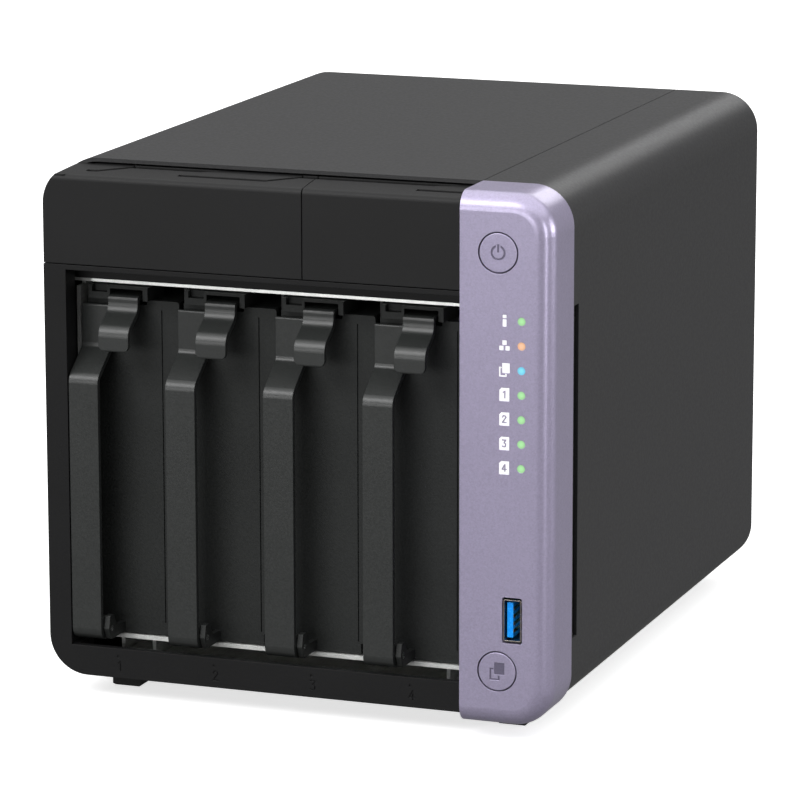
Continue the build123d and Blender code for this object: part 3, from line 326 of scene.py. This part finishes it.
# The same paint, blacker, on the plate at the rear.
FINISHES["rear_steel"] = powder_coat(
    "black_powder_coat", "1c1c1d", "262627", rough=0.5, specular=0.4, edge_mm=0.2)
# Dipped wire of the fan's guard: thicker, smoother and shinier.
FINISHES["guard_wire"] = powder_coat(
    "black_dip_coat", "0e0e0f", "151516", rough=0.28, specular=0.5, edge_mm=0.3)
print("with powder coats:", len(FINISHES))

# %% [markdown]
# ## Metallic paint
# The control panel is sprayed lavender. The paint holds tiny aluminium flakes that lie nearly flat,
# each turned a little differently, so the surface looks like fine sand when it is lit and gives a
# silky highlight on round edges. Voronoi cells stand for the flakes: each cell has its own random
# tone and its own roughness, a noise gives the coat its low relief, and the shader is half metal
# under a thin clear coat.

# %% Metallic paint
def metallic_paint(name, dark, light, rough, painted_shade_y=None):
    """Flake paint, with painted shade in sunk marks: what lies behind a given y is multiplied darker."""
    material, tree, place = start(name)
    flake = add_node(tree, "ShaderNodeTexVoronoi", {}, {"Vector": place, "Scale": per(0.45)})
    cloud = add_node(tree, "ShaderNodeTexNoise", {},
                     {"Vector": place, "Scale": per(0.9), "Detail": 2.0})
    each = add_node(tree, "ShaderNodeSeparateColor", {}, {"Color": flake.outputs["Color"]})
    mixed = add_node(tree, "ShaderNodeMix", {}, {0: 0.5, 2: each.outputs[0], 3: cloud.outputs[0]})
    colour = add_node(tree, "ShaderNodeMix", {"data_type": "RGBA"},
                      {0: mixed.outputs[0], 6: linear(dark), 7: linear(light)})
    if painted_shade_y is not None:
        split = add_node(tree, "ShaderNodeSeparateXYZ", {}, {0: place})
        sunk = add_node(tree, "ShaderNodeMath", {"operation": "GREATER_THAN"},
                        {0: split.outputs[1], 1: painted_shade_y})
        # Painted shade: the sunk marks are multiplied darker, as a recess in shade would look.
        colour = add_node(tree, "ShaderNodeMix", {"data_type": "RGBA", "blend_type": "MULTIPLY"},
                          {0: sunk.outputs[0], 6: colour.outputs[2], 7: linear("b0b0b4")})
    dull = add_node(tree, "ShaderNodeMapRange", {},
                    {0: each.outputs[1], 3: rough - 0.06, 4: rough + 0.06})
    surface(tree, cloud.outputs[0], 0.01, 0.25, {
        "Base Color": colour.outputs[2], "Roughness": dull.outputs[0], "Metallic": 0.55,
        "IOR": 1.5, "Specular IOR Level": 0.5, "Coat Weight": 0.25, "Coat Roughness": 0.2})
    return material


# Lavender basecoat with aluminium flakes, sprayed on ABS.
FINISHES["panel"] = metallic_paint("lavender_metallic_paint", "a79fba", "bbb3cf", rough=0.34)
# The buttons are sprayed in the same paint, in another batch, and come out a hair darker. Their
# sunk marks get painted shade, which makes them darker still.
BUTTON_FACE_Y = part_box("power_button")[0].y
MARK_STARTS = 0.08 * MM      # the marks on the buttons are sunk deeper than this
FINISHES["button"] = metallic_paint(
    "lavender_metallic_paint_buttons", "a49cb7", "b8b0cc", rough=0.36,
    painted_shade_y=BUTTON_FACE_Y + MARK_STARTS)
print("with metallic paints:", len(FINISHES))

# %% [markdown]
# ## Bare metals
# Sheet, wire and extruded metal all keep the marks of being made: rolling, drawing or machining
# leaves fine straight lines. A noise that is squeezed across the lines and stretched along them
# makes such marks. Zinc plating adds soft cloudy patches. A metal keeps the default IOR, because
# its colour alone sets how it reflects.

# %% Bare metals
def worked_metal(name, dark, light, rough, metallic, stretch, line_mm, edge_mm):
    """Metal with lines: stretch holds how far the marks are squeezed along x, y and z."""
    material, tree, place = start(name)
    squeezed = add_node(tree, "ShaderNodeMapping", {}, {"Vector": place, "Scale": stretch})
    lines = add_node(tree, "ShaderNodeTexNoise", {},
                     {"Vector": squeezed.outputs[0], "Scale": per(line_mm), "Detail": 2.0})
    cloud = add_node(tree, "ShaderNodeTexNoise", {}, {"Vector": place, "Scale": per(4), "Detail": 2.0})
    mixed = add_node(tree, "ShaderNodeMix", {}, {0: 0.5, 2: lines.outputs[0], 3: cloud.outputs[0]})
    spread = add_node(tree, "ShaderNodeMapRange", {}, {0: mixed.outputs[0], 1: 0.35, 2: 0.65})
    colour = add_node(tree, "ShaderNodeMix", {"data_type": "RGBA"},
                      {0: spread.outputs[0], 6: linear(dark), 7: linear(light)})
    dull = add_node(tree, "ShaderNodeMapRange", {},
                    {0: lines.outputs[0], 1: NOISE_LOW, 2: NOISE_HIGH, 3: rough - 0.06, 4: rough + 0.06})
    surface(tree, lines.outputs[0], 0.008, edge_mm, {
        "Base Color": colour.outputs[2], "Roughness": dull.outputs[0], "Metallic": metallic})
    return material


ALONG_Y = (1.0, 0.04, 1.0)
ALONG_Z = (1.0, 1.0, 0.04)
EVEN = (1.0, 1.0, 1.0)
# Zinc-plated sheet steel: pale, satin, with a bright sheared edge at the mouth of the cage.
FINISHES["steel"] = worked_metal(
    "zinc_plated_sheet_steel", "dcdedb", "f4f5f2",
    rough=0.42, metallic=0.35, stretch=ALONG_Y, line_mm=0.6, edge_mm=0.1)
# Nickel on the port shells: bright and a little warm.
FINISHES["port_shell"] = worked_metal(
    "nickel_plated_steel", "b8b0a8", "d8d2ca",
    rough=0.22, metallic=1.0, stretch=ALONG_Z, line_mm=0.4, edge_mm=0.1)
# Ground steel of the hinge pins.
FINISHES["pin"] = worked_metal(
    "ground_steel", "a8a9aa", "c6c7c8",
    rough=0.25, metallic=1.0, stretch=EVEN, line_mm=0.3, edge_mm=0.1)
# Die-cast drive case, machined on its faces and dull in between.
FINISHES["drive"] = worked_metal(
    "die_cast_aluminium", "8f9193", "b2b4b6",
    rough=0.48, metallic=0.85, stretch=EVEN, line_mm=0.7, edge_mm=0.3)
# Extruded heatsink, clear anodised, with die lines along its fins.
FINISHES["heatsink"] = worked_metal(
    "clear_anodised_aluminium", "a0a2a4", "bcbec0",
    rough=0.4, metallic=0.9, stretch=ALONG_Y, line_mm=0.4, edge_mm=0.1)
# Turned brass posts with the rings of the lathe.
FINISHES["brass_post"] = worked_metal(
    "turned_brass", "b08a3e", "d9b560",
    rough=0.28, metallic=1.0, stretch=(0.04, 1.0, 1.0), line_mm=0.3, edge_mm=0.1)
# Stamped stainless can of the clock's cell.
FINISHES["cell"] = worked_metal(
    "stamped_stainless_steel", "b4b5b4", "d0d1d0",
    rough=0.3, metallic=1.0, stretch=ALONG_Z, line_mm=0.4, edge_mm=0.2)
# Black oxide on the screws: a thin dark skin that lets the steel glint.
FINISHES["screw"] = worked_metal(
    "black_oxide_steel", "17171a", "29292c",
    rough=0.38, metallic=0.8, stretch=EVEN, line_mm=0.5, edge_mm=0.15)
print("with bare metals:", len(FINISHES))

# %% [markdown]
# ## Status lights and their marks
# Each light is a clear plastic rod that carries the light of a tiny lamp to the face. Its end glows
# evenly, a little stronger in the middle. The glow needs the distance from the rod's own axis, and
# the rods stand in a column at one pitch, so the height is wrapped to a single pitch first. The
# marks beside them are white ink with a faint painted glow.

# %% Light pipes
pipe_low, pipe_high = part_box("light_pipe_orange")
PIPE_X, PIPE_Z = (pipe_low.x + pipe_high.x) / 2, (pipe_low.z + pipe_high.z) / 2
PIPE_RADIUS = (pipe_high.x - pipe_low.x) / 2
PIPE_PITCH = 7.56 * MM


def lit_pipe(name, rim, heart):
    """Glowing rod's end, with one colour at its rim and one in the middle."""
    material, tree, place = start(name)
    split = add_node(tree, "ShaderNodeSeparateXYZ", {}, {0: place})
    across = add_node(tree, "ShaderNodeMath", {"operation": "SUBTRACT"},
                      {0: split.outputs[0], 1: PIPE_X})
    high = add_node(tree, "ShaderNodeMath", {"operation": "SUBTRACT"},
                    {0: split.outputs[2], 1: PIPE_Z})
    wrapped = add_node(tree, "ShaderNodeMath", {"operation": "WRAP"},
                       {0: high.outputs[0], 1: PIPE_PITCH / 2, 2: -PIPE_PITCH / 2})
    flat = add_node(tree, "ShaderNodeCombineXYZ", {}, {0: across.outputs[0], 1: wrapped.outputs[0]})
    reach = add_node(tree, "ShaderNodeVectorMath", {"operation": "LENGTH"}, {0: flat.outputs[0]})
    glow = add_node(tree, "ShaderNodeMapRange", {"interpolation_type": "SMOOTHSTEP"},
                    {0: reach.outputs["Value"], 1: PIPE_RADIUS, 2: 0.2 * PIPE_RADIUS})
    colour = add_node(tree, "ShaderNodeMix", {"data_type": "RGBA"},
                      {0: glow.outputs[0], 6: linear(rim), 7: linear(heart)})
    haze = add_node(tree, "ShaderNodeTexNoise", {}, {"Vector": place, "Scale": per(0.8)})
    surface(tree, haze.outputs[0], 0.01, 0.1, {
        "Base Color": linear("303030"), "Roughness": 0.3, "IOR": 1.58, "Specular IOR Level": 0.5,
        "Emission Color": colour.outputs[2], "Emission Strength": 0.95})
    return material


# Clear polycarbonate rods with a frosted end, lit green, amber and blue.
FINISHES["light_green"] = lit_pipe("frosted_light_pipe_green", "9fdc98", "b4f0ac")
FINISHES["light_orange"] = lit_pipe("frosted_light_pipe_amber", "f3b88c", "ffcda6")
FINISHES["light_blue"] = lit_pipe("frosted_light_pipe_blue", "70d0f0", "8aecff")
print("light pipe radius, mm:", round(PIPE_RADIUS / MM, 2))

# %% White ink
# White pad-printed ink: dense and slightly uneven, with a faint painted glow.
material, tree, place = start("white_pad_printed_ink")
cloud = add_node(tree, "ShaderNodeTexNoise", {}, {"Vector": place, "Scale": per(0.5), "Detail": 2.0})
colour = add_node(tree, "ShaderNodeMix", {"data_type": "RGBA"},
                  {0: cloud.outputs[0], 6: linear("e9e9ee"), 7: linear("ffffff")})
# Painted glow: the ink emits a little of its own colour.
surface(tree, cloud.outputs[0], 0.01, 0.05, {
    "Base Color": colour.outputs[2], "Roughness": 0.5, "IOR": 1.5,
    "Emission Color": colour.outputs[2], "Emission Strength": 0.45})
FINISHES["ink"] = material
print("made:", material.name)

# %% [markdown]
# ## Circuit boards
# A board is glass fabric in resin, with copper tracks under a green lacquer. The tracks show as
# slightly lighter and raised bands that run straight and turn at right angles. The distance across
# square Voronoi cells, folded back and forth, gives such bands.

# %% Circuit boards
material, tree, place = start("green_solder_mask")
track = add_node(tree, "ShaderNodeTexVoronoi", {"distance": "CHEBYCHEV", "feature": "F1"},
                 {"Vector": place, "Scale": per(5)})
bands = add_node(tree, "ShaderNodeMath", {"operation": "PINGPONG"},
                 {0: track.outputs["Distance"], 1: 0.09})
copper = add_node(tree, "ShaderNodeMapRange", {}, {0: bands.outputs[0], 1: 0.04, 2: 0.05})
colour = add_node(tree, "ShaderNodeMix", {"data_type": "RGBA"},
                  {0: copper.outputs[0], 6: linear("0b3a22"), 7: linear("15603a")})
surface(tree, copper.outputs[0], 0.03, 0.1, {
    "Base Color": colour.outputs[2], "Roughness": 0.3, "IOR": 1.5, "Specular IOR Level": 0.5})
FINISHES["board"] = material
print("made:", material.name)

# %% Rubber
# Moulded rubber feet: black, dusty and rough.
material, tree, place = start("moulded_rubber")
dust = add_node(tree, "ShaderNodeTexNoise", {}, {"Vector": place, "Scale": per(0.7), "Detail": 3.0})
colour = add_node(tree, "ShaderNodeMix", {"data_type": "RGBA"},
                  {0: dust.outputs[0], 6: linear("1c1c1c"), 7: linear("303030")})
surface(tree, dust.outputs[0], 0.05, 0.4, {
    "Base Color": colour.outputs[2], "Roughness": 0.75, "IOR": 1.52, "Specular IOR Level": 0.3})
FINISHES["foot"] = material
print("made:", material.name)

# %% Milk glass
# The lit table: opal glass, almost even in tone, with a glow of its own.
material, tree, place = start("milk_glass")
cloud = add_node(tree, "ShaderNodeTexNoise", {}, {"Vector": place, "Scale": per(60)})
colour = add_node(tree, "ShaderNodeMix", {"data_type": "RGBA"},
                  {0: cloud.outputs[0], 6: linear("f1f1f1"), 7: linear("f4f4f4")})
surface(tree, cloud.outputs[0], 0.01, 0.1, {
    "Base Color": colour.outputs[2], "Roughness": 0.9, "Specular IOR Level": 0.1,
    "Emission Color": linear("ffffff"), "Emission Strength": 0.7})
floor.data.materials.append(material)
print("made:", material.name)

# %% Give the finishes to the CAD pieces
for part in frame["record"]["subparts"]:
    NODES[part["node"]].material_slots[0].material = FINISHES[part["material_slot"]]

# %% [markdown]
# ## Small contacts
# Contacts are strips of spring metal a fraction of a millimetre thick, stamped, bent and gold
# plated. They are too fine for the CAD model. Each starts as a bmesh cube, is scaled to the strip's
# real size, gets its edges rounded by a bevel, and is turned and moved into place. Many strips
# share one mesh, because they are one stamping.

# %% A stamping of strips
# Gold over nickel: warm, bright and smooth.
GOLD = worked_metal(
    "gold_plated_contact", "b8862e", "e0b45c",
    rough=0.24, metallic=1.0, stretch=ALONG_Y, line_mm=0.2, edge_mm=0.05)


def new_piece(name, bm, material, body):
    """Turn a finished bmesh into a piece that rides on a body."""
    bmesh.ops.recalc_face_normals(bm, faces=bm.faces)
    mesh = bpy.data.meshes.new(name)
    bm.to_mesh(mesh)
    bm.free()
    mesh.materials.append(material)
    piece = bpy.data.objects.new(name, mesh)
    bpy.context.scene.collection.objects.link(piece)
    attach(piece, body)
    print(name, "faces:", len(mesh.polygons))
    return piece


ROUNDING = 0.3       # of a strip's thinnest side


def add_strip(bm, centre, size, tilt=0.0):
    """Add one strip with rounded edges, tilted about the upright axis."""
    verts = bmesh.ops.create_cube(bm, size=1.0)["verts"]
    bmesh.ops.scale(bm, verts=verts, vec=size)
    edges = list({edge for vert in verts for edge in vert.link_edges})
    rounded = bmesh.ops.bevel(bm, geom=edges, offset=min(size) * ROUNDING, affect="EDGES", segments=2,
                              profile=0.5, material=-1)
    new_verts = {vert for face in rounded["faces"] for vert in face.verts}
    verts = list(new_verts | {vert for vert in verts if vert.is_valid})
    bmesh.ops.rotate(bm, verts=verts, matrix=Matrix.Rotation(tilt, 3, "Z"))
    bmesh.ops.translate(bm, verts=verts, vec=centre)


# %% USB contacts at the front
# Four flat contacts lie on the face of the blue tongue that looks to the right.
shell_low, shell_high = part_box("front_usb_shell")
TONGUE_FACE_X = shell_low.x + 2.8 * MM
PAD_RISE = 0.08 * MM           # the pads' middle stands this far off the tongue's face
PAD_SIZE = (0.2 * MM, 10.0 * MM, 1.1 * MM)
PAD_DEPTH = 6.4 * MM           # from the shell's mouth to the pads' middle
PAD_PITCH = 2.33 * MM
middle_z = (shell_low.z + shell_high.z) / 2
bm = bmesh.new()
for index in range(4):
    z = middle_z + (index - 1.5) * PAD_PITCH
    add_strip(bm, (TONGUE_FACE_X + PAD_RISE, shell_low.y + PAD_DEPTH, z), PAD_SIZE)
new_piece("usb_contacts", bm, GOLD, "case")

# %% Contacts in the network ports
# Eight sprung wires in each port slope in from its mouth.
ports_low, ports_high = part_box("network_ports")
WIRE_SIZE = (0.35 * MM, 9.0 * MM, 0.35 * MM)
WIRE_PITCH = 1.02 * MM
WIRE_X = ports_low.x + 3.3 * MM
WIRE_Y = ports_high.y - 7.5 * MM
FIRST_PORT = 8 * MM            # height of the lower port's middle over the lowest edge
PORT_PITCH = 20 * MM
bm = bmesh.new()
for port in range(2):
    port_z = ports_low.z + FIRST_PORT + PORT_PITCH * port
    for index in range(8):
        add_strip(bm, (WIRE_X, WIRE_Y, port_z + (index - 3.5) * WIRE_PITCH), WIRE_SIZE, tilt=radians(9))
new_piece("network_contacts", bm, GOLD, "case")

# %% [markdown]
# ## Fan label
# The hub of a fan carries a round label of metallised film. It is plain here. A disc comes from
# create_circle with its cap filled, is given its thickness by extruding the face, and a narrow
# bevel rounds its rim.

# %% Fan label
# Metallised polyester film: silver, smooth, with a faint brushed look.
FILM = worked_metal(
    "metallised_polyester_film", "9fa1a3", "b9bbbd",
    rough=0.35, metallic=0.9, stretch=(1.0, 1.0, 0.05), line_mm=0.5, edge_mm=0.1)
FAN_AXIS_Z = 0.089
LABEL_RADIUS = 15 * MM
LABEL_T = 0.2 * MM
GLUE_GAP = 0.02 * MM
rotor_low, rotor_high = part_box("fan_rotor")
hub = Vector(((rotor_low.x + rotor_high.x) / 2, rotor_high.y + GLUE_GAP, FAN_AXIS_Z))
bm = bmesh.new()
bmesh.ops.create_circle(bm, cap_ends=True, segments=64, radius=LABEL_RADIUS)
raised = bmesh.ops.extrude_face_region(bm, geom=bm.faces[:])["geom"]
lifted = [item for item in raised if isinstance(item, bmesh.types.BMVert)]
bmesh.ops.translate(bm, verts=lifted, vec=(0, 0, LABEL_T))
rim = [edge for edge in bm.edges if all(vert in lifted for vert in edge.verts)]
bmesh.ops.bevel(bm, geom=rim, offset=0.08 * MM, affect="EDGES", segments=2, profile=0.5, material=-1)
bmesh.ops.rotate(bm, verts=bm.verts, matrix=Matrix.Rotation(radians(-90), 3, "X"))
bmesh.ops.translate(bm, verts=bm.verts, vec=hub)
new_piece("fan_label", bm, FILM, "fan_rotor_body")
